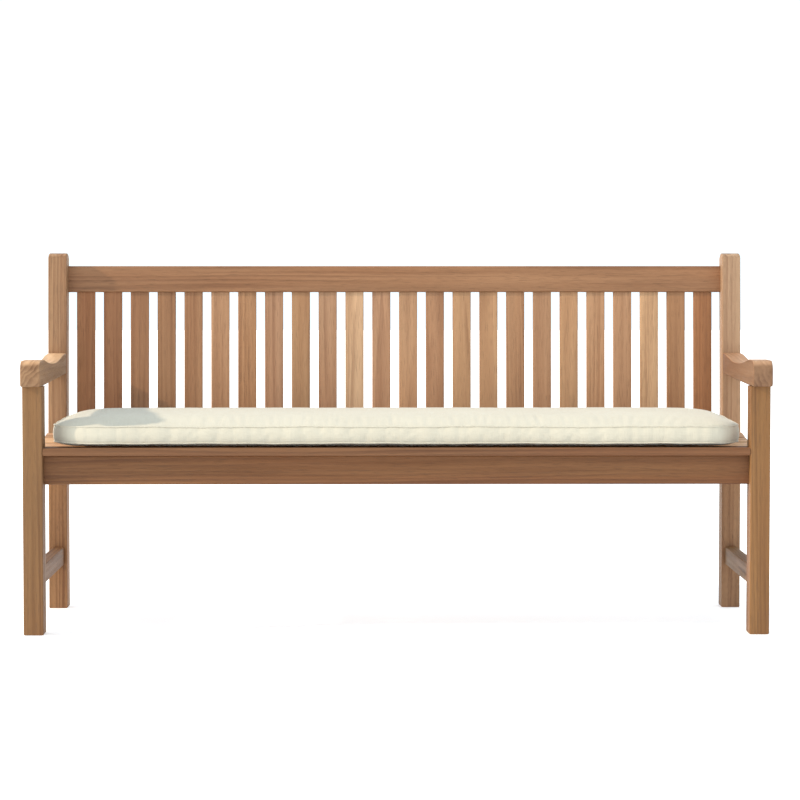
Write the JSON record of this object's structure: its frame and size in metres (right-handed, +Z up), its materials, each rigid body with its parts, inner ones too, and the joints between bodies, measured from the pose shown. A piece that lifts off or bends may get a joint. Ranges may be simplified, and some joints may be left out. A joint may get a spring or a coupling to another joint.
{
  "type": "garden bench",
  "caption": "Wide slatted wooden garden bench with scooped armrests, an upright slatted back and a loose box cushion on the seat.",
  "frame": {"origin": "on the ground under the middle of the whole bench's box", "axes": "+X to the right as seen from the front, along the bench; +Y towards the back; +Z up"},
  "size_m": [1.8, 0.6286, 0.921],
  "materials": {
    "teak_leg": "matte",
    "teak_arm": "matte",
    "teak_rail": "matte",
    "teak_back_slat": "matte",
    "teak_seat_slat": "matte",
    "teak_peg": "matte",
    "cushion_fabric": "matte",
    "cushion_foam": "matte",
    "zip_tape": "matte"
  },
  "bodies": {
    "bench_frame": {"front_leg_left": "teak_leg", "front_leg_right": "teak_leg", "back_post_left": "teak_leg", "back_post_right": "teak_leg", "armrest_left": "teak_arm", "armrest_right": "teak_arm", "front_rail": "teak_rail", "rear_rail": "teak_rail", "top_rail": "teak_rail", "lower_back_rail": "teak_rail", "side_rail_left": "teak_rail", "side_rail_right": "teak_rail", "side_stretcher_left": "teak_rail", "side_stretcher_right": "teak_rail", "seat_bearer_left": "teak_rail", "seat_bearer_right": "teak_rail", "back_slat_01": "teak_back_slat", "back_slat_02": "teak_back_slat", "back_slat_03": "teak_back_slat", "back_slat_04": "teak_back_slat", "back_slat_05": "teak_back_slat", "back_slat_06": "teak_back_slat", "back_slat_07": "teak_back_slat", "back_slat_08": "teak_back_slat", "back_slat_09": "teak_back_slat", "back_slat_10": "teak_back_slat", "back_slat_11": "teak_back_slat", "back_slat_12": "teak_back_slat", "back_slat_13": "teak_back_slat", "back_slat_14": "teak_back_slat", "back_slat_15": "teak_back_slat", "back_slat_16": "teak_back_slat", "back_slat_17": "teak_back_slat", "back_slat_18": "teak_back_slat", "back_slat_19": "teak_back_slat", "back_slat_20": "teak_back_slat", "back_slat_21": "teak_back_slat", "back_slat_22": "teak_back_slat", "back_slat_23": "teak_back_slat", "back_slat_24": "teak_back_slat", "seat_front_board": "teak_seat_slat", "seat_slat_1": "teak_seat_slat", "seat_slat_2": "teak_seat_slat", "seat_slat_3": "teak_seat_slat", "seat_slat_4": "teak_seat_slat", "seat_slat_5": "teak_seat_slat", "seat_slat_6": "teak_seat_slat", "peg_arm_front_left": "teak_peg", "peg_arm_front_right": "teak_peg", "peg_arm_rear_left": "teak_peg", "peg_arm_rear_right": "teak_peg", "peg_top_rail_left": "teak_peg", "peg_top_rail_right": "teak_peg", "peg_lower_back_rail_left": "teak_peg", "peg_lower_back_rail_right": "teak_peg", "peg_rear_rail_left": "teak_peg", "peg_rear_rail_right": "teak_peg"},
    "cushion": {"cushion_cover": "cushion_fabric", "cushion_foam": "cushion_foam", "cushion_zip": "zip_tape"}
  },
  "joints": [
    {"name": "cushion_lift", "type": "slide", "parent": "bench_frame", "child": "cushion", "axis": [0, 0, 1], "range_m": [0, 0.52]}
  ]
}
